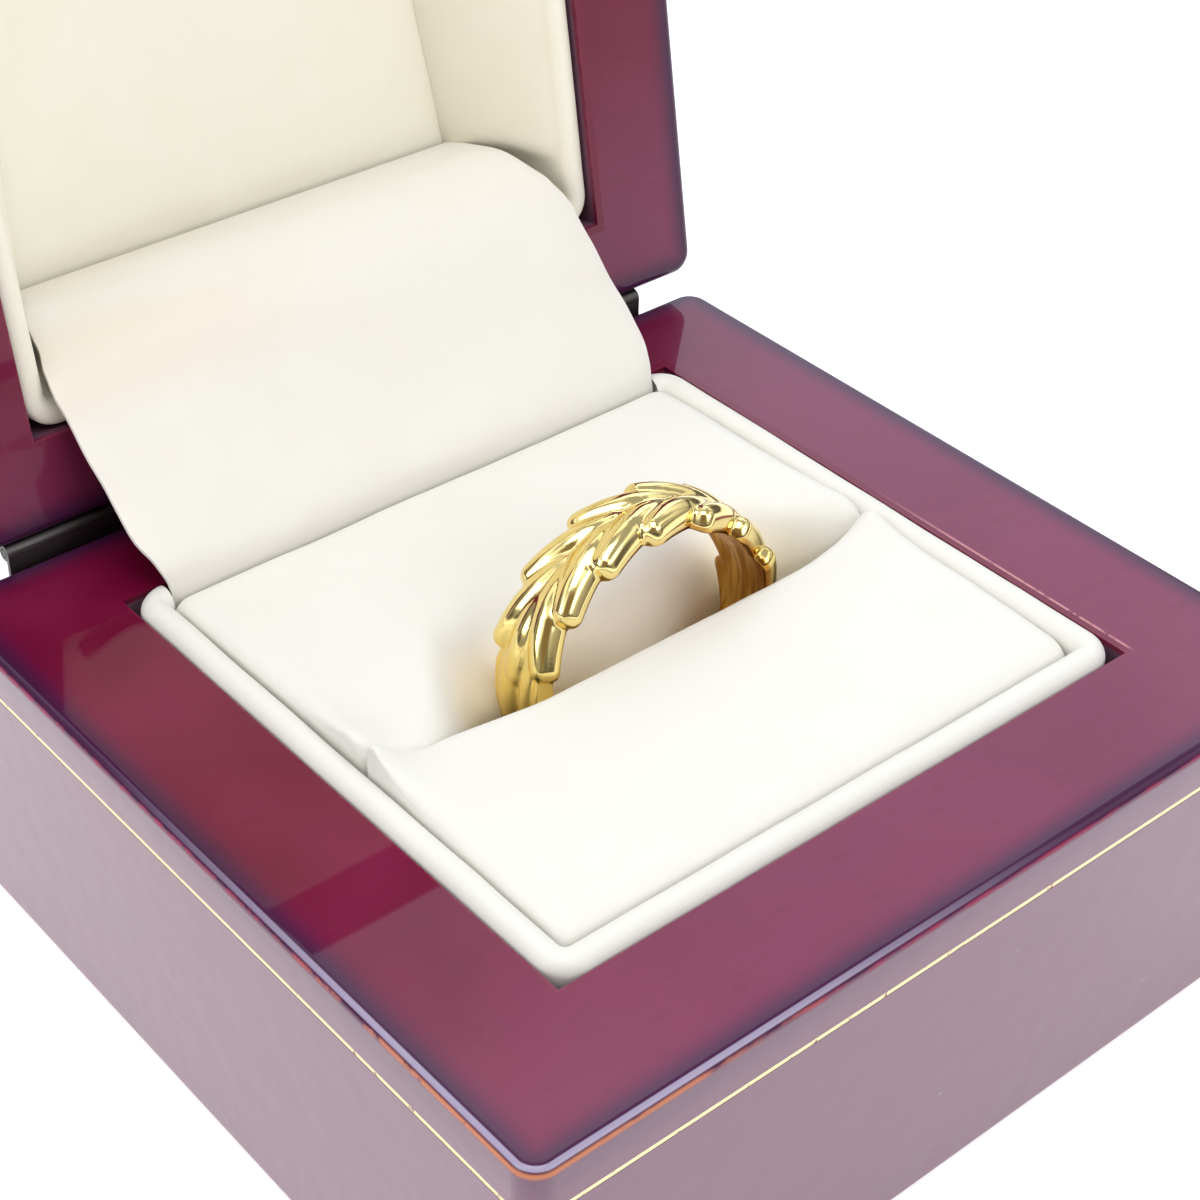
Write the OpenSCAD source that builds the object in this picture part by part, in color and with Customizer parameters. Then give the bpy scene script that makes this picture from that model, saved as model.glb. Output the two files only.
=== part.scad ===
// Leaf ring standing in the slot of an open, hinged, lacquered ring box.
// Millimetres. X runs along the hinge, -Y is the front, Z is up.
// The origin is the middle of the box's underside.

/* [Ring] */
// Inner radius of the ring, where the finger goes
ring_inner_r = 8.25; // [8:0.05:8.5]
// Height of a leaf's crest above the inner face
leaf_top = 1.6; // [1.5:0.05:1.65]
// Height of the plain band's crest above the inner face
band_top = 1.1; // [0.9:0.05:1.2]
// Height of the band's side walls above the inner face
band_side = 0.7; // [0.6:0.05:0.8]
// Half width of the band across the leaves
ring_half_w = 2.7; // [2.4:0.05:2.75]
// Half width of the plain band beside the leaves
band_half_w = 2.35; // [2.2:0.05:2.4]
// Half width of the plain band at the bottom
shank_half_w = 2; // [1.6:0.05:2.2]

/* [Box] */
// Width of the box along the hinge
box_w = 60; // [59:0.5:62]
// Depth of the box from front to back
box_d = 56; // [56:0.5:58]
// Height of the base
base_h = 21.7; // [21.5:0.1:24]
// Height of the lid
lid_h = 20; // [18:0.5:24]
// Width of the wooden rim at the sides
side_frame = 8.6; // [8.4:0.1:8.8]
// Width of the wooden rim at the front
front_frame = 8.5; // [8.4:0.1:8.6]
// Width of the base's wooden rim at the hinge
back_frame = 6.8; // [6.7:0.1:6.9]
// Width of the lid's wooden rim at the sides
lid_side_frame = 8.15; // [8:0.05:8.4]
// Width of the lid's wooden rim at the hinge
lid_back_frame = 5.8; // [5.7:0.1:6]
// Radius of the box's upright corners
corner_r = 1.5; // [1:0.1:2]
// Radius of the wooden edges round the opening and the underside
edge_r = 0.6; // [0.4:0.1:0.8]
// Radius of the lid's top edge
lid_edge_r = 1.2; // [0.6:0.1:1.3]
// Depth of the base's hollow
base_hollow = 17; // [16.5:0.5:18]
// Depth of the lid's hollow
lid_hollow = 12.5; // [12:0.5:14]
// Distance of the gold line below the base's rim
line_drop = 3.1; // [2.5:0.1:4]
// Height of the gold line
line_h = 0.3; // [0.2:0.05:0.4]

/* [Lining] */
// Width of the rounded cream lip
lip_w = 1.9; // [1.8:0.1:2]
// Height of the lip above the wooden rim
lip_rise = 0.55; // [0.4:0.05:0.6]
// Depth of the base's lining below the wooden rim
lining_h = 9; // [8:0.5:11]
// Height of the pads above the wooden rim
pad_rise = 0.5; // [0.3:0.05:0.5]
// Depth of the lid's lip below its rim
lid_lip_drop = 1.1; // [1:0.1:1.2]
// Depth of the lid's panel below its rim
panel_drop = 9.4; // [9.3:0.1:9.6]
// Thickness of the flap that crosses the hinge
flap_t = 0.7; // [0.5:0.05:0.7]

/* [Hinge] */
// Angle by which the lid stands open
open_angle = 100.3; // [98:0.1:102]
// Distance of the hinge pin behind the back of the box
pin_back = 0.62; // [0.61:0.01:0.66]
// Height of the hinge pin above the base's rim
pin_rise = 0.95; // [0.9:0.01:1]
// Radius of the knuckles
knuckle_r = 0.55; // [0.5:0.01:0.55]
// Radius of the pin
pin_r = 0.25; // [0.2:0.01:0.28]
// Length of the hinge
hinge_w = 50; // [20:1:54]

/* [Hidden] */
$fn = 48;
gap = 0.1;                       // between pieces that fit inside each other
lid_gap = 0.2;                   // between the two rims when the lid is shut
lid_rim = base_h + lid_gap;
front_y = -box_d / 2 + front_frame;
back_y = box_d / 2 - back_frame;
open_x = box_w / 2 - side_frame; // half width of the wooden opening
pin_y = box_d / 2 + pin_back;
pin_z = base_h + pin_rise;
lining_x = open_x - 0.15;        // outside of the linings
lining_front = front_y + 0.15;
lining_back = back_y - 0.15;
lining_r = lip_w + 0.3;          // outer corner radius of the linings
lid_open_x = box_w / 2 - lid_side_frame;
lid_back_y = box_d / 2 - lid_back_frame;
lid_lining_x = lid_open_x - 0.15;
lid_lining_back = lid_back_y - 0.15;
pad_x = lining_x - lip_w - 0.15; // half width of the pads
pad_front = lining_front + lip_w + 0.15;
flap_y = lining_back - 0.95 - flap_t / 2;   // middle of the flap where it is tucked in
pad_back = flap_y - flap_t / 2 - gap;
foam_top = base_h - 11.95;       // the foam bed under the ring

// Where the ring stands: its centre, how far it leans back and how far it is turned
RING_AT = [1.9, 1.29, base_h - 2.34];
RING_LEAN = -4;
RING_TURN = -1.8;

// Leaves: angle of each tip round the ring, from the front's right side over the top.
// Those on the front edge and those on the back edge alternate.
FRONT_TIPS = [166, 145, 121, 97, 72, 50, 28, 6];
BACK_TIPS = [166.5, 139.5, 113.5, 86, 60.5, 36, 12];
END_LEAF = [175.5, -0.6, 32];    // the leaf that ends the spray: angle, place across, length
leaf_span = 44;                  // degrees that a leaf runs round the ring
leaf_r = 0.62;                   // half width of a leaf at its fattest
tip_r = 0.47;                    // half width of a leaf at its tip
leaf_steps = 9;
arc_r = ring_inner_r + 1;        // radius on which the leaves are laid out
function arc(angle) = angle * PI / 180 * arc_r;

// One leaf is a row of [place round, place across, half width] along its middle
function leaf_width(s) = s < 0.75
    ? leaf_r * (0.3 + 0.7 * sin(90 * s / 0.75))
    : leaf_r + (tip_r - leaf_r) * (s - 0.75) / 0.25;
function leaf(tip, across, span) =
    [for (i = [0:leaf_steps]) let (s = i / leaf_steps)
        [arc(tip - span * (1 - s)) - tip_r, across * pow(s, 1.6), leaf_width(s)]];
LEAVES = concat(
    [for (tip = FRONT_TIPS) leaf(tip, -(ring_half_w - tip_r), leaf_span)],
    [for (tip = BACK_TIPS) leaf(tip, ring_half_w - tip_r, leaf_span)],
    [leaf(END_LEAF[0], END_LEAF[1], END_LEAF[2])]);
FRONT_LEAVES = [for (l = LEAVES) if (l[leaf_steps][1] < -1) l];
BACK_LEAVES = [for (l = LEAVES) if (l[leaf_steps][1] > 1) l];

// Height, 0 to 1, of one leaf's stretch from a to b over the point p
function stretch(p, a, b) =
    let (d = [b[0] - a[0], b[1] - a[1]],
         t = max(0, min(1, ((p[0] - a[0]) * d[0] + (p[1] - a[1]) * d[1]) / (d * d))),
         r = a[2] + t * (b[2] - a[2]),
         q = [p[0] - a[0] - t * d[0], p[1] - a[1] - t * d[1]],
         left = 1 - (q * q) / (r * r))
    left > 0 ? sqrt(left) * r / leaf_r : 0;
function leaf_height(p, l) =
    p[0] < l[0][0] - leaf_r || p[0] > l[leaf_steps][0] + leaf_r ? 0 :
    max([for (i = [0:leaf_steps - 1]) stretch(p, l[i], l[i + 1])]);
function relief(p) = max(concat([0], [for (l = LEAVES) leaf_height(p, l)]));

// Half width of the band at an angle, on the side that the leaves in the list reach
function reach(x, list) = max(concat([0], [for (l = list) for (s = l) let (q = x - s[0])
    if (abs(q) < s[2]) abs(s[1]) + sqrt(s[2] * s[2] - q * q)]));
function plain_w(angle) = shank_half_w + (band_half_w - shank_half_w) * pow((1 + sin(angle)) / 2, 0.6);
function low_angle(angle) = angle > 270 ? angle - 360 : angle;
function edge_w(angle, list) = max(plain_w(angle), reach(arc(low_angle(angle)), list));

// The ring's section at an angle: outer face from back to front, then the inner face
OUTER = 18;
function dome(across, w) = band_side + (band_top - band_side) * sqrt(max(0, 1 - pow(across / w, 2)));
function ring_point(angle, r, across) = [r * cos(angle), across, r * sin(angle)];
function ring_section(angle) =
    let (wf = edge_w(angle, FRONT_LEAVES), wb = edge_w(angle, BACK_LEAVES), ease = 0.25)
    concat(
        [for (j = [0:OUTER]) let (v = wb - (wb + wf) * j / OUTER, w = v > 0 ? wb : wf)
            ring_point(angle, ring_inner_r + max(dome(v, w),
                (leaf_top - 0.9) + 0.9 * relief([arc(low_angle(angle)), v])), v)],
        [ring_point(angle, ring_inner_r + 0.12, -wf),
         ring_point(angle, ring_inner_r, -wf + ease),
         ring_point(angle, ring_inner_r, wb - ease),
         ring_point(angle, ring_inner_r + 0.12, wb)]);
// Fine steps through the leaves, coarse ones round the plain band
RING_ANGLES = concat([for (a = [-14:1.45:185]) a], [for (a = [190:6.5:340]) a]);

// A closed skin over rings of points, each ring with the same count of points
module skin(rings, looped = false) {
    n = len(rings[0]);
    m = len(rings);
    last = looped ? m - 1 : m - 2;
    faces = [for (i = [0:last]) for (j = [0:n - 1])
        let (a = i * n, b = ((i + 1) % m) * n, k = (j + 1) % n)
        each [[a + j, b + j, b + k], [a + j, b + k, a + k]]];
    caps = looped ? [] : [[for (j = [0:n - 1]) j], [for (j = [n - 1:-1:0]) (m - 1) * n + j]];
    polyhedron([for (r = rings) each r], concat(faces, caps), convexity = 8);
}

module leaf_ring() {
    color("gold")
    translate(RING_AT) rotate([0, 0, RING_TURN]) rotate([RING_LEAN, 0, 0])
    skin([for (a = RING_ANGLES) reversed(ring_section(a))], looped = true);
}

// Outline of a slab's section: half width w, height h, edges rounded below and above
module section(w, h, below, above) {
    intersection() {
        square([w, h]);
        union() {
            translate([0, below]) square([w, h - below - above]);
            translate([-1, -1]) square([w - below + 1, below + 1]);
            translate([-1, h - above]) square([w - above + 1, above + 1]);
            translate([w - below, below]) circle(below);
            translate([w - above, h - above]) circle(above);
        }
    }
}

// A block with upright corners of radius r and rounded edges, standing on Z = 0
module rounded_block(w, d, h, r, below, above) {
    for (x = [-1, 1]) for (y = [-1, 1])
        translate([x * (w / 2 - r), y * (d / 2 - r), 0])
        rotate_extrude() section(r, h, below, above);
    for (side = [[w / 2, d - 2 * r, 0], [d / 2, w - 2 * r, 90]])
        rotate([0, 0, side[2]]) translate([0, side[1] / 2, 0]) rotate([90, 0, 0])
        linear_extrude(side[1]) {
            section(side[0], h, below, above);
            mirror([1, 0]) section(side[0], h, below, above);
        }
}

// A rectangle with rounded corners, as an upright plate of height h
module plate(x0, y0, x1, y1, h, r) {
    translate([x0 + r, y0, 0]) cube([x1 - x0 - 2 * r, y1 - y0, h]);
    translate([x0, y0 + r, 0]) cube([x1 - x0, y1 - y0 - 2 * r, h]);
    for (x = [x0 + r, x1 - r]) for (y = [y0 + r, y1 - r]) translate([x, y, 0]) cylinder(h, r = r);
}

module base_box() {
    color("#6b1f3a")
    difference() {
        rounded_block(box_w, box_d, base_h, corner_r, edge_r, edge_r);
        translate([-open_x, front_y, base_h - base_hollow])
            cube([2 * open_x, back_y - front_y, base_hollow + 1]);
        line_ring(line_h + 0.04, -0.02, box_w / 2 + 1, 0.4);
    }
}

// A thin band round the base at the gold line's height, from inset to outside
module line_ring(h, drop, outer, inset) {
    translate([0, 0, base_h - line_drop - line_h / 2 + drop])
    difference() {
        plate(-outer, -outer - (box_d - box_w) / 2, outer, outer + (box_d - box_w) / 2, h, corner_r);
        translate([0, 0, -1]) plate(-box_w / 2 + inset, -box_d / 2 + inset,
            box_w / 2 - inset, box_d / 2 - inset, h + 2, corner_r - inset);
    }
}

module gold_line() {
    color("goldenrod") line_ring(line_h, 0, box_w / 2 - 0.02, 0.36);
}

// A rounded lip on a wall, run round the lining: outside at 0, inside at lip_w
module lip_section(drop) {
    translate([0, -drop]) square([lip_w, drop]);
    intersection() {
        translate([lip_w / 2, 0]) circle(lip_w / 2);
        square([lip_w, lip_w]);
    }
}
module lip_side(length, drop) {
    translate([0, length, 0]) rotate([90, 0, 0]) linear_extrude(length) lip_section(drop);
}
module lip_corner(drop) {
    translate([lining_r, lining_r, 0]) rotate([0, 0, 180])
    rotate_extrude(angle = 90) translate([lining_r, 0]) mirror([1, 0]) lip_section(drop);
}
// The lip and its wall round a whole lining, whose walls go down by drop
module lip_frame(half_w, y0, y1, drop) {
    w = 2 * half_w;
    d = y1 - y0;
    translate([0, (y0 + y1) / 2, 0])
    for (side = [[0, w, d], [90, d, w], [180, w, d], [270, d, w]])
        rotate([0, 0, side[0]]) translate([-side[1] / 2, -side[2] / 2, 0]) {
            lip_corner(drop);
            translate([0, lining_r, 0]) lip_side(side[2] - 2 * lining_r, drop);
        }
}

// The lining's lip stops at the hinge side, where the flap goes down
module base_lining() {
    color("ivory")
    difference() {
        translate([0, 0, base_h + lip_rise - lip_w / 2])
            lip_frame(lining_x, lining_front, lining_back, lining_h);
        translate([-pad_x - 0.05, lining_back - lip_w - 1, base_h - lining_h - 1])
            cube([2 * pad_x + 0.1, lip_w + 0.2, lining_h + 3]);
        translate([-pad_x - 0.05, lining_back - 1, base_h])
            cube([2 * pad_x + 0.1, 2, 3]);
    }
}

module foam_bed() {
    low = base_h - base_hollow;
    color("beige")
    translate([-open_x + gap, front_y + gap, low + 0.02])
        cube([2 * (open_x - gap), back_y - front_y - 2 * gap, foam_top - low - 0.02]);
}

// How far the ring spreads the slot open at x: 1 beside the ring, towards 0 at the pads' ends.
// The stiffer front pad bows along its whole length, the rear one is dented near the ring.
function ease(t) = let (c = max(0, min(1, t))) c * c * (3 - 2 * c);
function bow(x) = 1 - ease((abs(x - RING_AT[0]) - 9.2) / 8);
function dent(x, flat, fade) = let (d = max(0, abs(x - RING_AT[0]) - flat) / fade) 1 / (1 + d * d);
// How much the wrapped corners beside the slot stand up, more on the left
function corner_puff(x) = (x < 0 ? 1.9 : 1) * pow(max(0, (abs(x) - 15.2) / 3.6), 2);
function front_slot_y(x) = -0.8 - 0.95 * bow(x) + 0.3 * corner_puff(x);
function rear_slot_y(x) = 4.3 * dent(x, 9.6, 3) - 0.2 + 0.1 * corner_puff(x);
// The rear pad rolls down into the slot: length and depth of the roll
function roll_length(x) = 1 + 4.8 * dent(x, 6.5, 6);
function roll_depth(x) = 0.9 + 4.1 * dent(x, 7, 6);

pad_low = foam_top + 0.1;
// Stations along a pad: plane ends, then rounded ends, then even steps
PAD_STEPS = concat([0, 0.25, 0.6, 1.1], [for (i = [1:17]) 1.1 + (2 * pad_x - 2.2) * i / 18],
                   [2 * pad_x - 1.1, 2 * pad_x - 0.6, 2 * pad_x - 0.25, 2 * pad_x]);
// How far a pad's edges draw in and down at its rounded ends
function end_fall(x) = let (t = max(0, 1 - (pad_x - abs(x)) / 1.1)) 0.75 * (1 - sqrt(1 - t * t * 0.98));
// Quarter round of an edge: from the upright face at y0 to the top at y0 + dy
function quarter(x, y0, dy, z_top, dz, n) =
    [for (i = [0:n]) let (a = 90 * i / n) [x, y0 + dy * (1 - cos(a)), z_top - dz * (1 - sin(a))]];
function reversed(l) = [for (i = [len(l) - 1:-1:0]) l[i]];

function front_pad_section(x) =
    let (fall = end_fall(x), top = base_h + pad_rise - fall, puff = 0.9 * corner_puff(x),
         y1 = front_slot_y(x) - fall * 0.6, y0 = pad_front + fall * 0.5,
         mid = [for (t = [0.2, 0.4, 0.6, 0.8]) [x, y0 + 1.6 + (y1 - y0 - 3) * t,
                top + 0.25 * sin(180 * t) + puff * pow(t, 6)]])
    concat([[x, y0, pad_low]], quarter(x, y0, 1.6, top, 1.2, 4), mid,
           reversed(quarter(x, y1, -0.8, top + puff, 0.6, 4)), [[x, y1, pad_low]]);
function rear_pad_section(x) =
    let (fall = end_fall(x), top = base_h + pad_rise - fall, puff = 0.6 * corner_puff(x),
         roll = roll_length(x), y0 = rear_slot_y(x) + fall * 0.6, y1 = pad_back - fall * 0.3,
         mid = [for (t = [0.25, 0.5, 0.75]) [x, y0 + roll + (y1 - y0 - roll - 1.3) * t,
                top + 0.2 * sin(180 * t) + puff * pow(1 - t, 4)]])
    concat([[x, y0, pad_low]], quarter(x, y0, roll, top + puff, roll_depth(x), 7), mid,
           reversed(quarter(x, y1, -1.3, top, 0.9, 4)), [[x, y1, pad_low]]);

module front_pad() {
    color("ivory") skin([for (s = PAD_STEPS) reversed(front_pad_section(s - pad_x))]);
}
module rear_pad() {
    color("ivory") skin([for (s = PAD_STEPS) reversed(rear_pad_section(s - pad_x))]);
}

// Turns a piece of the shut lid to where it stands open
module lid_open() {
    translate([0, pin_y, pin_z]) rotate([-open_angle, 0, 0]) translate([0, -pin_y, -pin_z]) children();
}

module lid_box() {
    color("#6b1f3a")
    lid_open()
    difference() {
        translate([0, 0, lid_rim]) rounded_block(box_w, box_d, lid_h, corner_r, edge_r, lid_edge_r);
        translate([-lid_open_x, front_y, lid_rim - 1])
            cube([2 * lid_open_x, lid_back_y - front_y, lid_hollow + 1]);
    }
}

// The lid's lining: a lip like the base's, whose walls lean in to the panel
lean_in = 2.4;                   // how far the walls lean in
lid_lip_z = lid_lip_drop + lip_w / 2;   // middle of the lip, below the lid's rim
wall_h = panel_drop - lid_lip_z;
panel_x = lid_lining_x - lip_w - lean_in;
panel_front = lining_front + lip_w + lean_in;
panel_back = box_d / 2 - 10.6;
panel_t = 1.4;
module wall_funnel() {
    x = lid_lining_x - lip_w;
    front = lining_front + lip_w;
    back = lid_lining_back - lip_w;
    polyhedron([
        [-x, front, 0], [x, front, 0], [x, back, 0], [-x, back, 0],
        [-panel_x, panel_front, wall_h], [panel_x, panel_front, wall_h],
        [panel_x, panel_back, wall_h], [-panel_x, panel_back, wall_h]],
        [[0, 1, 2, 3], [7, 6, 5, 4], [0, 4, 5, 1], [1, 5, 6, 2], [2, 6, 7, 3], [3, 7, 4, 0]]);
}
module lid_lining() {
    color("cornsilk")
    lid_open() translate([0, 0, lid_rim + lid_lip_z])
    difference() {
        union() {
            mirror([0, 0, 1]) lip_frame(lid_lining_x, lining_front, lid_lining_back, 0.5);
            plate(-lid_lining_x, lining_front, lid_lining_x, lid_lining_back,
                  lid_hollow - lid_lip_z - gap, lining_r);
        }
        wall_funnel();
        translate([0, 0, -1]) plate(-lid_lining_x + lip_w, lining_front + lip_w,
            lid_lining_x - lip_w, lid_lining_back - lip_w, 1.02, 0.3);
        // The seat that the panel lies in
        translate([-panel_x - gap, panel_front - gap, wall_h - 0.02])
            cube([2 * (panel_x + gap), panel_back - panel_front + 2 * gap, panel_t + 0.1]);
    }
}
// The padded panel in the lid, a little fuller in its middle
module lid_panel() {
    steps = 12;
    z0 = lid_rim + panel_drop + panel_t;
    function puff(u, v) = 0.45 * pow(max(0, sin(180 * u) * sin(180 * v)), 0.5);
    function at(u, v) = [-panel_x + 2 * panel_x * u, panel_front + (panel_back - panel_front) * v];
    rows = [for (i = [0:steps]) [for (j = [0:steps]) let (p = at(i / steps, j / steps))
        [p[0], p[1], z0 - panel_t + 0.3 - puff(i / steps, j / steps)]]];
    color("cornsilk") lid_open()
    skin([for (i = [0:steps]) concat(
        [[rows[i][0][0], rows[i][0][1], z0]], rows[i], [[rows[i][steps][0], rows[i][steps][1], z0]])]);
}

// The flap runs from behind the rear pad, over both rims, to the panel's lower edge.
// Each row: place from front to back, height above the rim, half width
FLAP = [[flap_y, -4, 19.0], [flap_y, -0.6, 19.0], [flap_y + 0.1, 0.6, 18.9], [20.5, 1.7, 19.2],
        [22.0, 3.05, 19.8], [24.4, 5.1, 20.0], [27.0, 7.7, 19.8], [29.3, 9.9, 19.4],
        [30.9, 10.8, 19.0], [32.7, 11.5, 18.4], [34.8, 11.95, 17.8], [37.0, 11.6, 17.3],
        [38.9, 11.1, 17.1]];
function flap_normal(i) =
    let (a = FLAP[max(0, i - 1)], b = FLAP[min(len(FLAP) - 1, i + 1)], d = [b[0] - a[0], b[1] - a[1]])
    [-d[1], d[0]] / norm(d);
module hinge_flap() {
    color("ivory")
    skin([for (i = [0:len(FLAP) - 1]) let (f = FLAP[i], n = flap_normal(i) * flap_t / 2)
        [[-f[2], f[0] + n[0], base_h + f[1] + n[1]], [f[2], f[0] + n[0], base_h + f[1] + n[1]],
         [f[2], f[0] - n[0], base_h + f[1] - n[1]], [-f[2], f[0] - n[0], base_h + f[1] - n[1]]]]);
}

// The hinge: two knuckles on the base, one on the lid, a pin through all three
middle_w = hinge_w / 3;
leaf_t = 0.3;
leaf_len = 6;
module knuckle(x0, x1) {
    translate([x0, pin_y, pin_z]) rotate([0, 90, 0]) cylinder(x1 - x0, r = knuckle_r);
}
module pin_hole() {
    translate([-hinge_w, pin_y, pin_z]) rotate([0, 90, 0]) cylinder(2 * hinge_w, r = pin_r + 0.05);
}
module base_hinge() {
    edge = hinge_w / 2;
    inner = middle_w / 2 + 0.1;
    color("goldenrod")
    difference() {
        union() {
            translate([-edge, box_d / 2 + 0.05, base_h - leaf_len]) cube([hinge_w, leaf_t, leaf_len + 0.25]);
            for (x = [[-edge, -inner], [inner, edge]]) {
                knuckle(x[0], x[1]);
                translate([x[0], box_d / 2 + 0.05, base_h]) cube([x[1] - x[0], leaf_t, pin_rise]);
            }
        }
        pin_hole();
    }
}
module lid_hinge() {
    edge = hinge_w / 2;
    inner = middle_w / 2 - 0.1;
    color("goldenrod")
    lid_open()
    difference() {
        union() {
            translate([-edge, box_d / 2 + 0.05, pin_z + knuckle_r + 0.15]) cube([hinge_w, leaf_t, leaf_len]);
            knuckle(-inner, inner);
            translate([-inner, box_d / 2 + 0.05, pin_z]) cube([2 * inner, leaf_t, leaf_len]);
        }
        pin_hole();
    }
}
module hinge_pin() {
    color("goldenrod")
    translate([-hinge_w / 2, pin_y, pin_z]) rotate([0, 90, 0]) cylinder(hinge_w, r = pin_r);
}

leaf_ring();
base_box();
gold_line();
base_lining();
foam_bed();
front_pad();
rear_pad();
base_hinge();
hinge_pin();
lid_box();
lid_lining();
lid_panel();
lid_hinge();
hinge_flap();
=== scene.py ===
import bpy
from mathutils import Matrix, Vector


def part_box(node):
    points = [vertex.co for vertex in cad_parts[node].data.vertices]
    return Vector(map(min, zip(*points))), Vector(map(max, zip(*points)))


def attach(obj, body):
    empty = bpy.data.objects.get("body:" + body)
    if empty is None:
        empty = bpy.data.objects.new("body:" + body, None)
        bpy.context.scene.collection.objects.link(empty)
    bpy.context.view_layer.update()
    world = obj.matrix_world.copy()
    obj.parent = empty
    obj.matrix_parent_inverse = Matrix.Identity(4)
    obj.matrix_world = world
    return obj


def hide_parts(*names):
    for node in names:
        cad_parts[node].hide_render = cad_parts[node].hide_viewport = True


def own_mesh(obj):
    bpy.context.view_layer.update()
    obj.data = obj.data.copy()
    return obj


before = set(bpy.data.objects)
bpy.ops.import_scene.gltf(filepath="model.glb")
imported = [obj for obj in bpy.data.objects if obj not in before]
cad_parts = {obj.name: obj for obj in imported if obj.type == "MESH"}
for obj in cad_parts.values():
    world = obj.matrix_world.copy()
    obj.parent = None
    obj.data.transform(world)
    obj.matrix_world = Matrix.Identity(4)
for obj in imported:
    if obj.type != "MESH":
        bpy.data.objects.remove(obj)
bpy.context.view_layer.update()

# Camera: a close, slightly rolled view down over the box's front left corner.
# It is placed in the frame of the box, whose underside stands on the floor.
import math

import bpy
import numpy as np
from mathutils import Matrix, Vector, noise

MM = 0.001
scene = bpy.context.scene

VIEW_FROM = Vector((-75.38, -84.09, 108.87)) * MM
VIEW_TURN = math.radians(-40.97)
VIEW_TILT = math.radians(36.89)
VIEW_ROLL = math.radians(1.353)

view_back = Vector((math.sin(VIEW_TURN) * math.cos(VIEW_TILT),
                    -math.cos(VIEW_TURN) * math.cos(VIEW_TILT), math.sin(VIEW_TILT)))
view_right = (-view_back).cross(Vector((0, 0, 1))).normalized()
view_up = view_right.cross(-view_back)
rolled_right = math.cos(VIEW_ROLL) * view_right + math.sin(VIEW_ROLL) * view_up
rolled_up = -math.sin(VIEW_ROLL) * view_right + math.cos(VIEW_ROLL) * view_up
camera = bpy.data.objects.new("camera", bpy.data.cameras.new("camera"))
camera.data.lens = 73.06
camera.data.sensor_width = 36
camera.data.clip_start = 0.005
camera.matrix_world = (Matrix.Translation(VIEW_FROM)
                       @ Matrix((rolled_right, rolled_up, view_back)).transposed().to_4x4())
scene.collection.objects.link(camera)
scene.camera = camera
scene.view_settings.view_transform = "Standard"


# Floor: a white table top that glows a little, so that it stays white under the box.
# The materials of every piece are built with the small class that starts here.
class Paint:
    """One output of a material's nodes. Arithmetic on it adds Math nodes."""

    def __init__(self, tree, output=None):
        self.tree, self.output = tree, output

    def node(self, kind, settings=None, values=None, out=0):
        """Adds a node: its settings first, then the values or links of its sockets."""
        made = self.tree.nodes.new("ShaderNode" + kind)
        for name, setting in (settings or {}).items():
            setattr(made, name, setting)
        for name, value in (values or {}).items():
            if isinstance(value, Paint):
                self.tree.links.new(value.output, made.inputs[name])
            else:
                made.inputs[name].default_value = value
        return Paint(self.tree, made.outputs[out])

    def maths(self, operation, *values):
        return self.node("Math", {"operation": operation}, dict(enumerate(values)))

    def __add__(self, other):
        return self.maths("ADD", self, other)

    def __sub__(self, other):
        return self.maths("SUBTRACT", self, other)

    def __rsub__(self, other):
        return self.maths("SUBTRACT", other, self)

    def __mul__(self, other):
        return self.maths("MULTIPLY", self, other)

    def __abs__(self):
        return self.maths("ABSOLUTE", self)

    __radd__, __rmul__ = __add__, __mul__

    def root(self):
        return self.maths("SQRT", self)

    def lower(self, other):
        return self.maths("MINIMUM", self, other)

    def higher(self, other):
        return self.maths("MAXIMUM", self, other)

    def fade(self, start, end):
        """0 at start and before it, 1 at end and after it, smooth between."""
        return self.node("MapRange", {"interpolation_type": "SMOOTHSTEP"},
                         {"Value": self, "From Min": start, "From Max": end})

    def mix(self, colour, other):
        """The colour where this share is 0, the other one where it is 1."""
        return self.node("Mix", {"data_type": "RGBA"}, {0: self, 6: colour, 7: other}, out=2)

    def split(self):
        return [self.node("SeparateXYZ", None, {"Vector": self}, out=i) for i in range(3)]

    def stretched(self, x, y, z):
        """This place scaled along each axis."""
        return self.node("VectorMath", {"operation": "MULTIPLY"}, {0: self, 1: (x, y, z)})

    def grain(self, scale, detail=2.0, roughness=0.5):
        """Cloudy noise from 0 to 1 over this place."""
        return self.node("TexNoise", None, {"Vector": self, "Scale": scale, "Detail": detail,
                                            "Roughness": roughness})


def new_material(name):
    """An empty material, and the place on the piece in millimetres."""
    material = bpy.data.materials.new(name)
    material.use_nodes = True
    material.node_tree.nodes.clear()
    place = Paint(material.node_tree).node("TexCoord", out=3).stretched(1000, 1000, 1000)
    return material, place


def finish_with(place, sockets):
    """Closes a material with one shader that has these sockets."""
    surface = place.node("BsdfPrincipled", None, sockets)
    end = place.tree.nodes.new("ShaderNodeOutputMaterial")
    place.tree.links.new(surface.output, end.inputs["Surface"])


def add_piece(name, points, faces, material, sharp=180):
    """A smooth mesh from points in millimetres, with edges over sharp degrees kept crisp."""
    mesh = bpy.data.meshes.new(name)
    mesh.from_pydata((np.asarray(points, float) * MM).tolist(), [], faces)
    mesh.validate()
    mesh.shade_smooth()
    if sharp < 180:
        mesh.set_sharp_from_angle(angle=math.radians(sharp))
    mesh.materials.append(material)
    piece = bpy.data.objects.new(name, mesh)
    scene.collection.objects.link(piece)
    return piece


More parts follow.
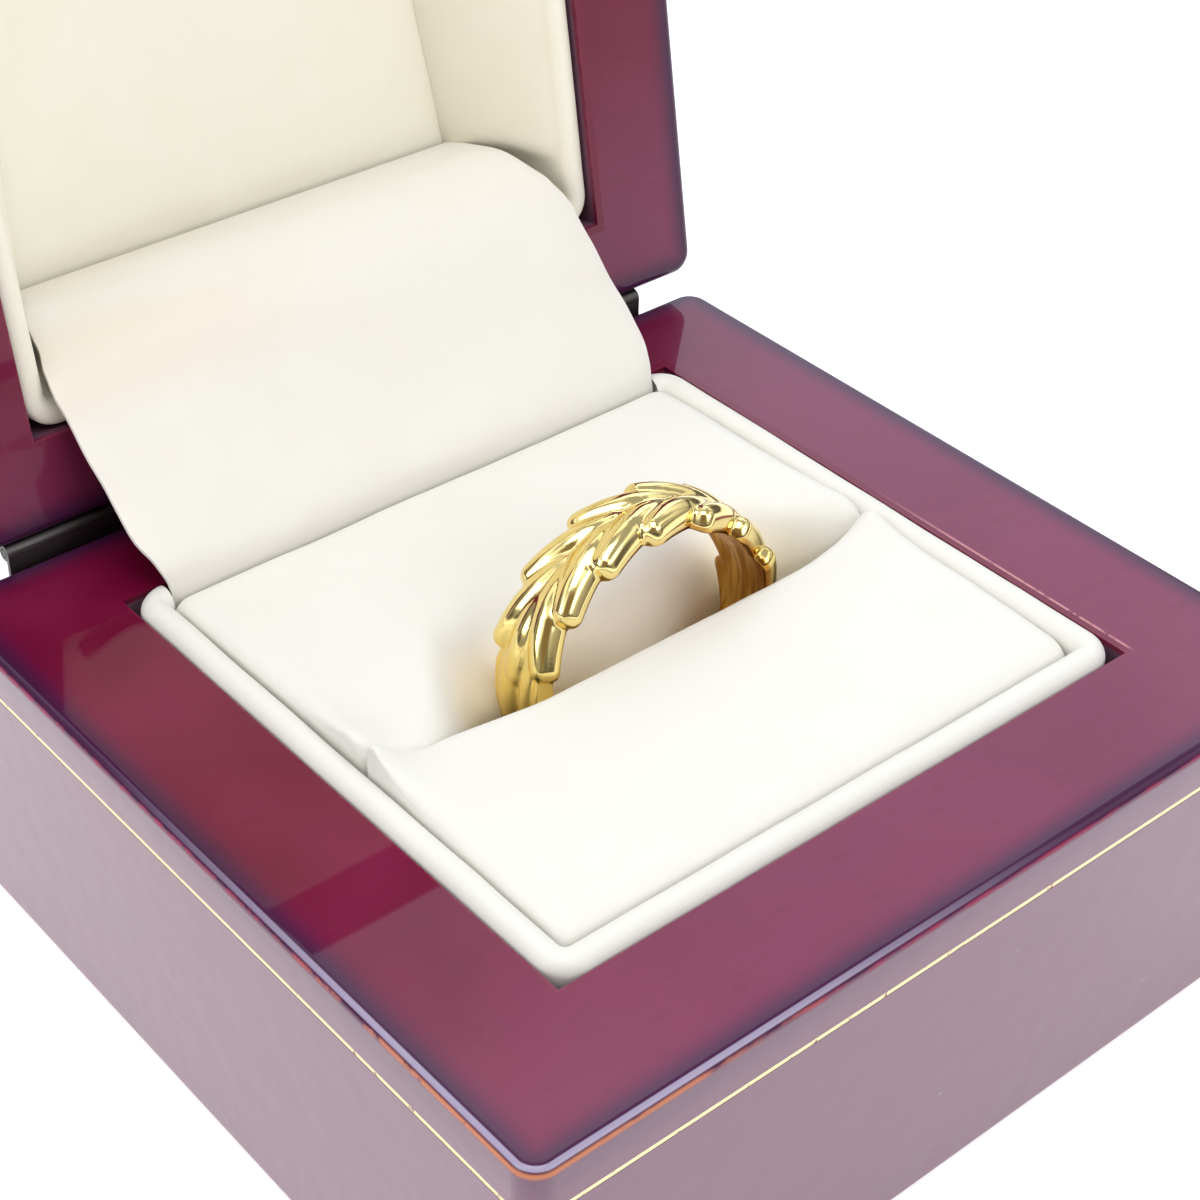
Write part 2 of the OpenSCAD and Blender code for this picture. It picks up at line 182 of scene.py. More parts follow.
FLOOR_REACH = 20000
floor_white, place = new_material("floor_white")
finish_with(place, {
    "Base Color": place.grain(0.02).mix((0.86, 0.86, 0.86, 1), (0.9, 0.9, 0.9, 1)),
    "Roughness": 0.7, "Emission Color": (1, 1, 1, 1), "Emission Strength": 0.55})
floor = add_piece("floor", [(-FLOOR_REACH, -FLOOR_REACH, 0), (FLOOR_REACH, -FLOOR_REACH, 0),
                            (FLOOR_REACH, FLOOR_REACH, 0), (-FLOOR_REACH, FLOOR_REACH, 0)],
                  [(0, 1, 2, 3)], floor_white)

# Light: a pale studio, dim near the horizon and bright above, with large soft boxes.
# Their edges give the gold its bright and dark streaks. A few bounces light the open box.
scene.cycles.max_bounces = 6
scene.cycles.diffuse_bounces = 3
scene.cycles.glossy_bounces = 3
world = bpy.data.worlds.new("studio")
world.use_nodes = True
world.node_tree.nodes.clear()
scene.world = world
toward = Paint(world.node_tree).node("TexCoord", out=0)
sky = toward.split()[2].fade(0.0, 0.75).mix((0.2, 0.19, 0.2, 1), (0.9, 0.92, 0.95, 1))
broken = toward.stretched(1, 1, 0.7).grain(2.6, 1).fade(0.42, 0.58)
sky = broken.mix(sky.stretched(0.5, 0.5, 0.52), sky.stretched(1.5, 1.5, 1.5))
WARM_SIDE = (-0.52, -0.6, 0.6)
facing = toward.node("VectorMath", {"operation": "DOT_PRODUCT"}, {0: toward, 1: WARM_SIDE}, out=1)
sky = facing.fade(0.87, 0.95).mix(sky, (0.25, 0.19, 0.12, 1))
glow = toward.node("Background", None, {"Color": sky, "Strength": 1.0})
end = world.node_tree.nodes.new("ShaderNodeOutputWorld")
world.node_tree.links.new(glow.output, end.inputs["Surface"])
AIM = Vector((0, 0, 20))
# Name, place in mm, width and height in mm, brightness and colour of each soft box
SOFT_BOXES = [
    ("soft_box_above", (-60, -40, 420), 260, 260, 2.6, (1, 1, 1)),
    ("soft_box_left", (-380, 60, 230), 200, 260, 2.6, (1, 1, 1)),
    ("soft_box_front", (150, -420, 300), 330, 240, 2.1, (1, 1, 1)),
    ("soft_box_behind", (300, 330, 330), 360, 360, 1.5, (0.75, 0.86, 1)),
]
for name, at, width, height, brightness, tint in SOFT_BOXES:
    lamp = bpy.data.lights.new(name, "AREA")
    lamp.shape = "RECTANGLE"
    lamp.size, lamp.size_y = width * MM, height * MM
    lamp.color = tint
    lamp.energy = brightness * math.pi * width * height * MM * MM
    box = bpy.data.objects.new(name, lamp)
    box.location = Vector(at) * MM
    box.rotation_euler = (AIM - Vector(at)).to_track_quat("-Z", "Y").to_euler()
    scene.collection.objects.link(box)

# Ring: one gold casting. Two rows of long leaves overlap along the top of the band and
# end in round tips on its edges; the band is plain below them, down in the pads' slot.
BASE_H = 21.7
RING_INNER_R = 8.25
LEAF_TOP = 1.6
BAND_TOP = 1.1
BAND_SIDE = 0.7
RING_HALF_W = 2.7
BAND_HALF_W = 1.75
END_HALF_W = 2.45
SHANK_HALF_W = 2.0
RING_AT = Vector((1.9, 1.29, BASE_H - 2.34))
RING_LEAN = math.radians(-4)
RING_TURN = math.radians(-1.8)
FRONT_TIPS = [166.5, 143.5, 120.5, 97, 72, 50, 28, 6]
BACK_TIPS = [164, 139, 113, 86, 60.5, 36, 12]
LEAF_SPAN = 46
LEAF_R = 1.06
TIP_R = 0.88
LEAF_STEPS = 28
ARC_R = RING_INNER_R + 1
ACROSS = 72
EDGE_ROUND = 0.3
EDGE_H = 0.42
INNER_STEPS = 14
INNER_HOLLOW = 0.28


def arc(angle):
    """Length along the middle of the band, in mm, at an angle in degrees."""
    return np.radians(angle) * ARC_R


def leaf(tip, across, span, fat=LEAF_R, end_r=TIP_R, bend=1.5, start=0.0, high=1.0):
    """A leaf as rows of place round the ring, place across it, half width and height."""
    share = np.linspace(0, 1, LEAF_STEPS + 1)
    swell = np.sin(np.pi / 2 * (share / 0.66).clip(0, 1))
    taper = ((share - 0.66) / 0.34).clip(0, 1)
    widths = fat * (0.2 + 0.8 * swell) + (end_r - fat) * taper ** 1.5
    outward = start + (across - start) * share ** bend
    return np.stack([arc(tip - span * (1 - share)) - end_r, outward, widths,
                     high * (0.3 + 0.7 * swell - 0.14 * taper ** 2)], 1)


front_leaves = [leaf(tip, TIP_R - RING_HALF_W, LEAF_SPAN, bend=1.5) for tip in FRONT_TIPS]
back_leaves = [leaf(tip, RING_HALF_W - TIP_R, LEAF_SPAN, bend=1.3) for tip in BACK_TIPS]
# The leaf that ends the spray, and three low ribs that run on from it into the plain band
end_leaf = leaf(174, 0.1, 44, fat=1.15, end_r=1.05, bend=1.0)
ribs = [leaf(206, 1.0, 60, fat=1.05, end_r=0.9, start=0.7, high=0.52),
        leaf(204, -0.9, 56, fat=0.8, end_r=0.7, start=-0.95, high=0.55),
        leaf(200, -1.9, 50, fat=0.6, end_r=0.5, start=-2.0, high=0.45)]
all_leaves = front_leaves + back_leaves + [end_leaf] + ribs


def relief(along, across):
    """How high the leaves stand, 0 to 1, over points of the band."""
    high = np.zeros(np.shape(along))
    for rows in all_leaves:
        near = (along > rows[0, 0] - 1) & (along < rows[-1, 0] + 1)
        if not near.any():
            continue
        p, q = along[near], across[near]
        best = np.zeros(p.shape)
        for (ax, ay, ar, ah), (bx, by, br, bh) in zip(rows[:-1], rows[1:]):
            dx, dy = bx - ax, by - ay
            t = (((p - ax) * dx + (q - ay) * dy) / (dx * dx + dy * dy)).clip(0, 1)
            left = 1 - ((p - ax - t * dx) ** 2 + (q - ay - t * dy) ** 2) / (ar + t * (br - ar)) ** 2
            best = np.maximum(best, left.clip(0, 1) ** 0.75 * (ah + t * (bh - ah)))
        high[near] = np.maximum(high[near], best)
    return high


def reach(along, leaves):
    """How far across the band the tips of these leaves reach, for each place round it."""
    far = np.zeros(len(along))
    for rows in leaves:
        left = rows[:, 2] ** 2 - (along[:, None] - rows[:, 0]) ** 2
        edge = np.where(left > 0, np.abs(rows[:, 1]) + np.sqrt(left.clip(0, None)), 0)
        far = np.maximum(far, edge.max(1))
    return far


def softened(values, times):
    """Values evened out with their neighbours along the first axis."""
    for _ in range(times):
        values = (np.roll(values, 1, 0) + 2 * values + np.roll(values, -1, 0)) / 4
    return values


def skin(rows, looped=False, capped=True):
    """Points and faces of a closed skin over rows of points, each a closed loop."""
    size, count = len(rows[0]), len(rows)
    faces = []
    for i in range(count if looped else count - 1):
        j = (i + 1) % count
        faces += [(i * size + k, j * size + k, j * size + (k + 1) % size, i * size + (k + 1) % size)
                  for k in range(size)]
    if capped and not looped:
        faces += [tuple(range(size)), tuple(range(count * size - 1, (count - 1) * size - 1, -1))]
    return [point for row in rows for point in row], faces


ring_angles = np.concatenate([np.arange(-14, 214, 0.3), np.arange(216, 344, 2.5)])
along = arc(np.where(ring_angles > 270, ring_angles - 360, ring_angles))
# The band is narrow under the leaves, wider where it leaves them, and a little slimmer below
plain = np.interp(ring_angles, [-14, 10, 156, 170, 200, 235],
                  [SHANK_HALF_W, BAND_HALF_W, BAND_HALF_W, END_HALF_W, END_HALF_W, SHANK_HALF_W])
front_edge = softened(np.maximum(plain, reach(along, front_leaves)), 10)
rear_edge = softened(np.maximum(plain, reach(along, back_leaves)), 10)
spread = np.linspace(0, 1, ACROSS + 1)
spread = spread - 0.13 * np.sin(2 * np.pi * spread)
across = rear_edge[:, None] - (rear_edge + front_edge)[:, None] * spread
half = np.where(across > 0, rear_edge[:, None], front_edge[:, None])
crest = BAND_TOP - BAND_SIDE - 0.25 * (1 - ((ring_angles - 172) / 26) ** 2).clip(0, 1)
dome = BAND_SIDE + crest[:, None] * np.sqrt((1 - (across / half) ** 2).clip(0, 1))
high = softened(relief(np.repeat(along[:, None], ACROSS + 1, 1), across), 6)
high = np.pad(high, ((0, 0), (3, 3)), mode="edge").T
high = softened(high, 2).T[:, 3:-3]
height = np.maximum(dome, LEAF_TOP - 0.88 + 0.88 * high)
turn_down = ((np.abs(across) - half + EDGE_ROUND) / EDGE_ROUND).clip(0, 1)
height = EDGE_H + (height - EDGE_H) * np.sqrt(1 - turn_down ** 2)
# The back of the casting is a little hollow behind each leaf
under = np.linspace(-1, 1, INNER_STEPS + 1)
inner_across = np.where(under < 0, front_edge[:, None], rear_edge[:, None]) * under
inner_along = np.repeat(along[:, None], INNER_STEPS + 1, 1)
hollow = INNER_HOLLOW * softened(relief(inner_along, inner_across), 3) * (1 - under ** 6)
rows = []
for i, angle in enumerate(ring_angles):
    a, front, rear = math.radians(angle), front_edge[i], rear_edge[i]
    section = list(zip(height[i], across[i]))
    section += [(0.4, -front), (0.12, -front), (0.03, -front + 0.09)]
    section += [(hollow[i, k], inner_across[i, k]) for k in range(1, INNER_STEPS)]
    section += [(0.03, rear - 0.09), (0.12, rear), (0.4, rear)]
    rows.append([((RING_INNER_R + r) * math.cos(a), v, (RING_INNER_R + r) * math.sin(a))
                 for r, v in section])
points, faces = skin(rows[::-1], looped=True)
ring_place = (Matrix.Translation(RING_AT) @ Matrix.Rotation(RING_TURN, 4, "Z")
              @ Matrix.Rotation(RING_LEAN, 4, "X"))
gold, place = new_material("gold")
polish = place.grain(6, 2)
x, y, z = place.split()
# The band's inside keeps its drawn streaks, and on the right it is painted amber, a painted
# reflection of the gold mirroring itself
from_axis_x, from_axis_z = x - RING_AT.x, z - RING_AT.z
from_axis = (from_axis_x * from_axis_x + from_axis_z * from_axis_z).root()
inside = from_axis.fade(RING_INNER_R + 0.6, RING_INNER_R + 0.35)
drawn = place.stretched(0.2, 2.2, 0.2).grain(1, 2).fade(0.4, 0.6)
# The outside is painted brighter and yellower low down on the legs, as painted light
outer_gold_painted_light = z.fade(BASE_H - 1, BASE_H + 4).mix((1.0, 0.78, 0.25, 1), (0.9, 0.725, 0.3, 1))
inner_gold_painted_reflection = drawn.mix((0.8, 0.5, 0.13, 1), (0.55, 0.27, 0.05, 1))
finish_with(place, {
    "Base Color": (inside * x.fade(-2, 6)).mix(outer_gold_painted_light, inner_gold_painted_reflection), "Metallic": 1.0,
    "Roughness": z.fade(BASE_H - 1, BASE_H - 2.4) * 0.25 + polish.fade(0.2, 0.9) * 0.05 + 0.08})
ring = add_piece("ring", [ring_place @ Vector(p) for p in points], faces, gold)
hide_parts("leaf_ring")
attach(ring, "base")

# Box base: a block of wood, hollowed for the lining and lacquered dark red all over.
# The lacquer is thin and worn along the edges, with fine dust on the sides. Painted on it are a
# pale reflection on the sides, a highlight near the front corner and a red that grows lighter
# across the rim.
HALF_W, HALF_D = 30.0, 28.0
CORNER_R = 1.5
OPEN_X, OPEN_FRONT, OPEN_BACK = 21.4, -19.5, 21.2
PIN_Y, PIN_Z = 28.62, 22.65
OPEN_ANGLE = math.radians(100.3)


def lacquer(name, rim, shut=None, open_x=OPEN_X, open_back=OPEN_BACK, painted_side_sheen=0.8, gloss=1.31,
            lit=(1, -1, -16, 16, 0.6)):
    """Dark red lacquer. rim is the height of the box part's rim, and shut turns its place
    in the open box back to where it is when the lid is shut. lit is painted light, the red
    painted lighter over the rim: its shares of x and y, where it starts and ends, and how much."""
    material, place = new_material(name)
    if shut:
        place = place.node("VectorRotate", {"rotation_type": "X_AXIS"},
                           {"Vector": place, "Center": (0, PIN_Y, PIN_Z), "Angle": shut})
    x, y, z = place.split()
    below = abs(z - rim)
    # How far in from the outside, following the round corners
    out_x, out_y = abs(x) - HALF_W + CORNER_R, abs(y) - HALF_D + CORNER_R
    past_x, past_y = out_x.higher(0), out_y.higher(0)
    side = CORNER_R - (past_x * past_x + past_y * past_y).root()
    side = side - out_x.higher(out_y).lower(0)
    # How far out from the opening
    inner = (abs(x) - open_x).higher(y * -1 + OPEN_FRONT).higher(y - open_back)
    cloud = place.grain(0.07, 2)
    from_corner = abs(x + HALF_W) + abs(y + HALF_D)
    fine = place.stretched(0.3, 1, 1).grain(1.1, 3, 0.6)
    face = below.fade(0.25, 0.6)
    body = cloud.fade(0.35, 0.65).mix((0.125, 0.002, 0.024, 1), (0.175, 0.008, 0.043, 1))
    # Painted light: the red is painted lighter across the rim in one direction
    share_x, share_y, low, high, most = lit
    brighter = (x * share_x + y * share_y).fade(low, high) * most
    body = brighter.mix(body, (0.2, 0.03, 0.085, 1))
    body = (fine.fade(0.55, 0.75) * 0.2).mix(body, (0.09, 0.002, 0.018, 1))
    # Violet along the outer edge. The sides carry a painted pale reflection, darkened by painted
    # shade just under the top edge, and a painted highlight runs along the rounded top edge near
    # the front corner
    shore = side.fade(2.9, 0.4)
    rimmed = (shore * shore * (1 - face) * 0.85).mix(body, (0.03, 0.008, 0.045, 1))
    with_painted_light = (face * painted_side_sheen).mix(rimmed, (0.22, 0.137, 0.185, 1))
    with_painted_light = (below.fade(2.8, 0.5) * face * 0.5).mix(with_painted_light, (0.12, 0.07, 0.11, 1))
    glint = (side * 0.8 + below * 1.3).fade(0.395, 0.36) * from_corner.fade(40, 10)
    with_painted_light = (glint * 0.8).mix(with_painted_light, (0.42, 0.37, 0.52, 1))
    # Worn outer edge, worn edge of the opening, and its chipped crimson edge on the right
    patch = (fine + from_corner.fade(18, 3) * 0.2).fade(0.4, 0.62)
    worn_edge = side.fade(0.32, 0.12) * below.fade(0.62, 0.4) * below.fade(0.18, 0.34) * patch
    on_rim = below.fade(0.3, 0.05)
    right = x.fade(18, 20) * y.fade(OPEN_FRONT - 0.3, OPEN_FRONT + 0.7)
    worn_rim = inner.fade(0.16, 0.04) * on_rim * fine.fade(0.35, 0.6) * (0.3 - right * 0.1)
    crimson = inner.fade(0.62, 0.46) * on_rim * right
    chipped = inner.fade(0.42, 0.5) * inner.fade(0.68, 0.58) * on_rim * right * fine.fade(0.3, 0.5)
    worn = worn_edge.higher(worn_rim)
    near_corner = from_corner.fade(24, 6).higher(worn_rim)
    bare = near_corner.mix((0.26, 0.02, 0.07, 1), (0.52, 0.19, 0.1, 1))
    dust = fine.fade(0.76, 0.8) * face
    edged = (crimson * 0.85).mix(with_painted_light, (0.15, 0.004, 0.03, 1))
    edged = (chipped * y.fade(3, -8) * 0.8).mix(edged, (0.62, 0.26, 0.27, 1))
    colour = (dust * 0.4).mix(worn.mix(edged, bare), (0.6, 0.5, 0.55, 1))
    finish_with(place, {
        "Base Color": colour, "Roughness": 0.3 + worn.higher(dust) * 0.3,
        "Specular IOR Level": 0.06,
        "Coat Weight": 1.0, "Coat Roughness": 0.03, "Coat IOR": gloss,
        "Normal": place.node("Bump", None, {"Height": place.grain(0.4, 1), "Strength": 0.1,
                                            "Distance": 0.0006})})
    return material


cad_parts["base_box"].data.materials.clear()
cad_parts["base_box"].data.materials.append(lacquer("base_lacquer", BASE_H))

# Gold line: a thin inlaid line round the base, rubbed off here and there.
inlay, place = new_material("gold_inlay")
rubbed = place.grain(1.3, 4, 0.7).fade(0.6, 0.66)
finish_with(place, {
    "Base Color": rubbed.mix((0.85, 0.72, 0.42, 1), (0.3, 0.12, 0.12, 1)),
    "Metallic": (1 - rubbed) * 0.55, "Roughness": 0.38 + rubbed * 0.2,
    "Normal": place.node("Bump", None, {"Height": place.grain(6, 3), "Strength": 0.3,
                                        "Distance": 0.0001})})
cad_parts["gold_line"].data.materials.clear()
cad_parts["gold_line"].data.materials.append(inlay)

# Base lining: cream leatherette over card, folded over into a round lip all round the
# opening. It is pushed into the hollow, and its ends meet the flap at the back.
LIP_W = 1.9
LIP_RISE = 0.55
LINING_H = 9
LINING_X, LINING_FRONT, LINING_BACK = 21.25, -19.35, 21.05
LINING_R = LIP_W + 0.3
LIP_END_X = 19.3


def leatherette(name, pale, warm, tint=None, pore=0.1):
    """Smooth cream leatherette with fine pores and soft creases. A tint, if given, lays painted
    light or shade over it.
    """
    material, place = new_material(name)
    soft = place.grain(0.25, 2)
    colour = soft.mix(pale, warm)
    if tint:
        share, shade = tint(place)
        colour = share.mix(colour, shade)
    finish_with(place, {
        "Base Color": colour, "Roughness": 0.42 + soft * 0.12,
        "Specular IOR Level": 0.35, "Sheen Weight": 0.12, "Sheen Roughness": 0.4,
        "Normal": place.node("Bump", None, {"Height": place.grain(2.6, 2, 0.6), "Strength": pore,
                                            "Distance": 0.00012})})
    return material


CREAM, CREAM_WARM = (0.8, 0.79, 0.745, 1), (0.78, 0.765, 0.705, 1)


def painted_slot_light(place):
    """Painted light: the cream is painted lighter and warmer down in the slot round the ring,
    standing in for light thrown off the gold into the slot's shade.
    """
    x, y, z = place.split()
    round_ring = (abs(x - RING_AT.x) * 0.07).higher(abs(y - 1.2) * 0.16)
    return round_ring.fade(1.15, 0.6) * z.fade(BASE_H + 0.2, BASE_H - 2), (0.93, 0.86, 0.755, 1)


cream = leatherette("cream_leatherette", CREAM, CREAM_WARM)


def lip_path(half_x, front, rear, radius, end_x):
    """Places round three sides and four corners, with the way in from each."""
    path = [(-end_x, rear, 0, -1)]
    for cx, cy, start in ((-half_x, rear, 90), (-half_x, front, 180), (half_x, front, 270),
                          (half_x, rear, 0)):
        mx, my = cx - math.copysign(radius, cx), cy - math.copysign(radius, cy)
        corner = []
        for step in range(15):
            a = math.radians(start + 90 * step / 14)
            corner.append((mx + radius * math.cos(a), my + radius * math.sin(a),
                           -math.cos(a), -math.sin(a)))
        (ox, oy), (fx, fy, nx, ny) = path[-1][:2], corner[0]
        path += [(ox + (fx - ox) * s / 40, oy + (fy - oy) * s / 40, nx, ny) for s in range(1, 40)]
        path += corner
    return path + [(end_x, rear, 0, -1)]


def wobble(point, size, scale, seed=0):
    """A smooth random length, in mm, that changes from place to place."""
    return size * noise.noise(Vector(point) * scale + Vector((seed * 7.3, seed * 3.1, 0)))


rows = []
lip_r = LIP_W / 2
lip_z = BASE_H + LIP_RISE - lip_r
for x, y, nx, ny in lip_path(LINING_X, LINING_FRONT, LINING_BACK, LINING_R, LIP_END_X):
    full = 1 + wobble((x, y, 0), 0.05, 0.35)
    shift = wobble((x, y, 5), 0.05, 0.22)
    section = [(0, lip_z - LINING_H), (0, lip_z - 3), (0, lip_z - 0.6)]
    section += [(lip_r - lip_r * math.cos(math.radians(a)),
                 lip_z + lip_r * full * math.sin(math.radians(a))) for a in range(0, 181, 12)]
    section += [(LIP_W, lip_z - 0.6), (LIP_W, lip_z - 3), (LIP_W, lip_z - LINING_H)]
    rows.append([(x + nx * (u + shift), y + ny * (u + shift), z) for u, z in section])
points, faces = skin(rows)
lining = add_piece("base_lining_cover", points, faces, cream, sharp=60)
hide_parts("base_lining")
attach(lining, "base")

# Foam bed: a plain block of open foam under both pads, which the ring stands on.
foam_low, foam_high = (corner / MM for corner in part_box("foam_bed"))
foam, place = new_material("foam")
cells = place.node("TexVoronoi", None, {"Vector": place, "Scale": 1.6})
# The open cells are painted darker in their hollows, a painted shade, and bumped by the same
# pattern
finish_with(place, {
    "Base Color": cells.fade(0.1, 0.5).mix((0.36, 0.33, 0.26, 1), (0.62, 0.58, 0.48, 1)),
    "Roughness": 0.9,
    "Normal": place.node("Bump", None, {"Height": cells, "Strength": 0.8, "Distance": 0.0004})})


def rounded_loop(x0, y0, x1, y1, radius, z, steps=6):
    """A level loop with round corners, the same count of points each time."""
    loop = []
    for cx, cy, start in ((x1, y1, 0), (x0, y1, 90), (x0, y0, 180), (x1, y0, 270)):
        mx = cx + (radius if cx == x0 else -radius)
        my = cy + (radius if cy == y0 else -radius)
        for step in range(steps + 1):
            a = math.radians(start + 90 * step / steps)
            loop.append((mx + radius * math.cos(a), my + radius * math.sin(a), z))
    return loop


rows = []
for inset, z in ((0.5, 0), (0.1, 0.2), (0, 0.6), (0, -0.6), (0.1, -0.2), (0.5, 0)):
    level = foam_low.z + z if z >= 0 and len(rows) < 3 else foam_high.z + z
    rows.append(rounded_loop(foam_low.x + inset, foam_low.y + inset, foam_high.x - inset,
                             foam_high.y - inset, 1.0, level))
points, faces = skin(rows)
foam_block = add_piece("foam_block", points, [face[::-1] for face in faces], foam, sharp=60)
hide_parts("foam_bed")
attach(foam_block, "base")

# Pads: two halves of foam wrapped in cream leatherette, pressed into the lining. The ring
# spreads the slot between them: the stiffer front pad bows, the rear one rolls down.
PAD_X, PAD_FRONT, PAD_BACK = 19.2, -17.3, 19.3
PAD_RISE = 0.5
PAD_LOW = BASE_H - 11.85
PAD_ROWS = 120


def ease(t):
    t = min(1.0, max(0.0, t))
    return t * t * (3 - 2 * t)


def bow(x):
    """How far the ring pushes the front pad, 1 beside it and 0 at the pad's ends."""
    return 1 - ease((abs(x - RING_AT.x) - 9.2) / 8)


def corner_puff(x):
    """How much the wrapped corners beside the slot stand up, more on the left."""
    return (1.9 if x < 0 else 1) * max(0.0, (abs(x) - 15.2) / 3.6) ** 2


def end_fall(x):
    """How far a pad's edges draw in and down at its round ends."""
    t = max(0.0, 1 - (PAD_X - abs(x)) / 1.1)
    return 0.75 * (1 - math.sqrt(1 - t * t * 0.98))


def quarter(y0, dy, top, dz, count):
    """A quarter round from the upright face at y0 to the top."""
    turns = [math.pi / 2 * i / count for i in range(count + 1)]
    return [(y0 + dy * (1 - math.cos(a)), top - dz * (1 - math.sin(a))) for a in turns]


def front_slot(x):
    return -0.8 - 0.95 * bow(x) + 0.3 * corner_puff(x)


def front_pad_section(x):
    fall, puff = end_fall(x), 0.9 * corner_puff(x)
    top = BASE_H + PAD_RISE - fall
    slot = front_slot(x) - fall * 0.6
    front = PAD_FRONT + fall * 0.5
    middle = []
    for i in range(1, 36):
        t = i / 36
        crown = 0.25 * math.sin(math.pi * t) + puff * t ** 6
        middle.append((front + 1.6 + (slot - front - 2.4) * t, top + crown))
    return ([(front, PAD_LOW), (front, PAD_LOW + 5)]
            + quarter(front, 1.6, top, 1.2, 10) + middle
            + quarter(slot, -0.8, top + puff, 0.6, 8)[::-1]
            + [(slot, PAD_LOW + 5), (slot, PAD_LOW)])


def rear_pad_section(x):
    fall, puff = end_fall(x), 0.6 * corner_puff(x)
    top = BASE_H + PAD_RISE - fall
    off_ring = abs(x - RING_AT.x)
    parted = 1 - ease((off_ring - 9.5) / 7.6)
    held = parted * (0.5 + 0.5 * ease(off_ring / 7.5))
    slot = front_slot(x) + 0.05 + (3.4 - front_slot(x)) * held + fall * 0.6
    roll_end = 1.5 + 8.2 * parted + fall * 0.6
    depth = 0.9 + 3.9 * parted
    rear = PAD_BACK - fall * 0.3
    middle = []
    for i in range(1, 30):
        t = i / 30
        crown = 0.2 * math.sin(math.pi * t) + puff * (1 - t) ** 4
        middle.append((roll_end + (rear - roll_end - 1.3) * t, top + crown))
    roll = [(slot + (roll_end - slot) * t, top + puff - depth * (1 - t) ** 2.6)
            for t in np.linspace(0, 1, 19)]
    foot = max(slot, 4.15)
    return ([(foot, PAD_LOW), (foot, top - 8.5), (slot + 0.4, top - 7.5), (slot, top - 6.5)]
            + roll + middle
            + quarter(rear, -1.3, top, 0.9, 8)[::-1] + [(rear, PAD_LOW + 5), (rear, PAD_LOW)])


pad_cream = leatherette("pad_leatherette", CREAM, CREAM_WARM, painted_slot_light)
END_STEPS = np.array([0, 0.12, 0.3, 0.5, 0.8])
pad_stations = np.concatenate([END_STEPS, np.linspace(1.1, 2 * PAD_X - 1.1, PAD_ROWS),
                               2 * PAD_X - END_STEPS[::-1]]) - PAD_X
for name, node, section in (("front_pad_cover", "front_pad", front_pad_section),
                            ("rear_pad_cover", "rear_pad", rear_pad_section)):
    rows = []
    for x in pad_stations:
        row = []
        for y, z in section(x):
            high = ease((z - BASE_H + 4) / 4)
            uneven = wobble((x, y, 0), 0.12, 0.13, 1) + wobble((x, y, 0), 0.03, 0.5, 2)
            row.append((x, y, z + high * uneven))
        rows.append(row[::-1])
    points, faces = skin(rows)
    pad = add_piece(name, points, faces, pad_cream, sharp=60)
    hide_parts(node)
    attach(pad, "base")

# Hinge flap: one strip of cream leatherette from behind the rear pad, up over both rims,
# to the lower edge of the lid's panel. It hides the hinge; on the box it folds flat when the lid
# shuts, though here it is only shaped lying open.
FLAP_T = 0.6
LEFT_MORE = 0.72
# Middle line of the flap at rest: y, height over the rim and half width
FLAP = [(19.75, -4, 19.0), (19.75, -0.6, 19.0), (19.85, 0.6, 18.9), (20.5, 1.7, 19.2),
        (22.0, 3.05, 19.6), (24.4, 5.1, 19.7), (27.0, 7.7, 19.6), (29.3, 9.9, 19.25),
        (30.9, 10.8, 19.0), (32.7, 11.5, 18.4), (34.8, 11.95, 17.8), (37.0, 11.6, 17.3),
        (38.9, 11.1, 17.1)]


def smooth_rows(rows, count):
    """A smooth line through rows of numbers, as count rows at even steps."""
    rows = np.array(rows, float)
    padded = np.vstack([2 * rows[0] - rows[1], rows, 2 * rows[-1] - rows[-2]])
    out = []
    for place_on in np.linspace(0, len(rows) - 1.0001, count):
        i, t = int(place_on), place_on % 1
        a, b, c, d = padded[i:i + 4]
        out.append(0.5 * (2 * b + (c - a) * t + (2 * a - 5 * b + 4 * c - d) * t * t
                          + (3 * b - a - 3 * c + d) * t ** 3))
    return out


FLAP_ACROSS = 60
flap_rows = smooth_rows(FLAP, 90)
front_face, rear_face = [], []
for i, (y, z, half) in enumerate(flap_rows):
    before, after = flap_rows[max(0, i - 1)], flap_rows[min(len(flap_rows) - 1, i + 1)]
    along = Vector((after[0] - before[0], after[1] - before[1])).normalized()
    normal = (-along.y, along.x)
    share = i / (len(flap_rows) - 1)
    loose = ease((share - 0.12) / 0.2) * ease((1 - share) / 0.15)
    for face, offset in ((front_face, FLAP_T / 2), (rear_face, -FLAP_T / 2)):
        row = []
        for k in range(FLAP_ACROSS + 1):
            u = 2 * k / FLAP_ACROSS - 1
            edge = half + wobble((0, i * 0.25, u), 0.22, 0.6, 3) * loose
            x = u * edge - LEFT_MORE * ease(-u) * ease((share - 0.42) / 0.16)
            lift = loose * (wobble((x, i * 0.5, 0), 0.3, 0.11, 4)
                            + wobble((x, i * 0.4, 0), 0.08, 0.4, 5))
            out = offset * (1 - 0.55 * ease((abs(u) - 0.97) / 0.03)) + lift
            row.append((x, y + normal[0] * out, BASE_H + z + normal[1] * out))
        face.append(row)
rows = [front + rear[::-1] for front, rear in zip(front_face, rear_face)]
points, faces = skin(rows)


def crease_shade(place):
    """Painted shade: the bend under the flap's upper edge is painted faintly tan, most at the left.
    """
    x, y, z = place.split()
    band = z.fade(BASE_H + 12.3, BASE_H + 11.2) * z.fade(BASE_H + 7.5, BASE_H + 9.8)
    return band * x.fade(4, -14) * 0.5, (0.8, 0.7, 0.56, 1)


flap_cream = leatherette("flap_leatherette", (0.82, 0.805, 0.75, 1), (0.8, 0.77, 0.7, 1),
                         crease_shade)
flap = add_piece("flap", points, faces, flap_cream, sharp=60)
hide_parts("hinge_flap")
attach(flap, "base")
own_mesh(flap)

